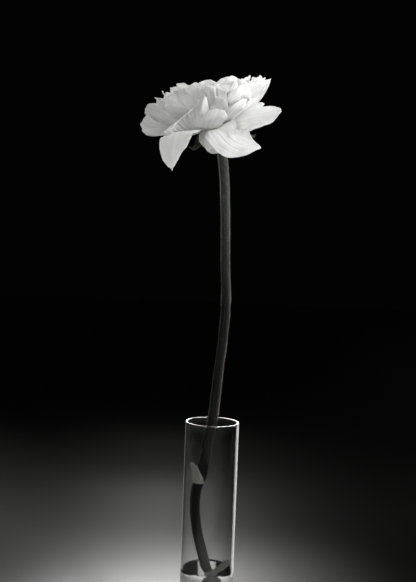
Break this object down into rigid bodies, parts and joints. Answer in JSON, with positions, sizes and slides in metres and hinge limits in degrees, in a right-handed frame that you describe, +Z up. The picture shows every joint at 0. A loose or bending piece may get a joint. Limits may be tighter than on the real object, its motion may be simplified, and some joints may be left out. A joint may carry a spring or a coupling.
{
  "type": "ranunculus flower in a glass vase",
  "caption": "Double ranunculus bloom with splayed and drooping guard petals on a bent stem, standing in a clear glass tube vase with a little water.",
  "frame": {"origin": "centre of the vase's flat foot, on the surface that it stands on", "axes": "+Z up along the vase, +X to the right and +Y away from the viewer in the picture, whose view the bent stem and the drooping petal on the left face"},
  "size_m": [0.1042, 0.0967, 0.4406],
  "materials": {
    "clear_glass": "clear, polished",
    "water": "clear, still",
    "green_stem": "matt, finely downy",
    "white_petal": "soft satin, finely veined",
    "green_seeds": "matt",
    "pale_leaf": "matt, thin"
  },
  "bodies": {
    "root": {"vase": "clear_glass", "water": "water", "stem": "green_stem", "petals": "white_petal", "seed_head": "green_seeds", "leaf_base_upper": "pale_leaf", "leaf_base_lower": "pale_leaf"}
  },
  "joints": []
}
